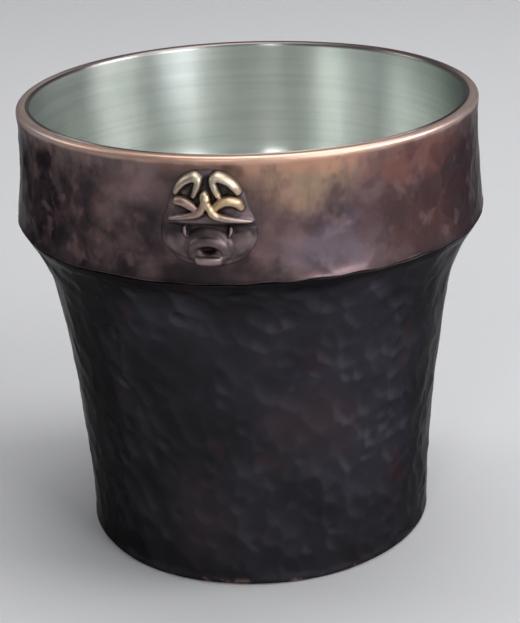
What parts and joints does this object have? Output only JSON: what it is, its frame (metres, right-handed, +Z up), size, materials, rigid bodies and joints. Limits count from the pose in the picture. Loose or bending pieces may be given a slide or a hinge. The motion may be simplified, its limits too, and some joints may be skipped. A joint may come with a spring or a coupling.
{
  "type": "copper mug",
  "caption": "Hammered dark copper mug without a handle, with a copper collar, a tin liner and a small cast brass beast mask on the collar.",
  "frame": {"origin": "centre of the flat foot, on the plane that the mug stands on", "axes": "+Z up along the mug's axis, -Y out through the middle of the mask"},
  "size_m": [0.0888, 0.0905, 0.086],
  "materials": {
    "body_copper": "satin",
    "collar_copper": "satin",
    "base_copper": "satin",
    "liner_tin": "satin",
    "mask_brass": "satin",
    "rivet_copper": "satin",
    "braze": "satin"
  },
  "bodies": {
    "root": {"copper_body": "body_copper", "copper_collar": "collar_copper", "base_plate": "base_copper", "tin_liner": "liner_tin", "beast_mask": "mask_brass", "mask_rivets": "rivet_copper", "collar_braze": "braze", "base_braze": "braze"}
  },
  "joints": []
}
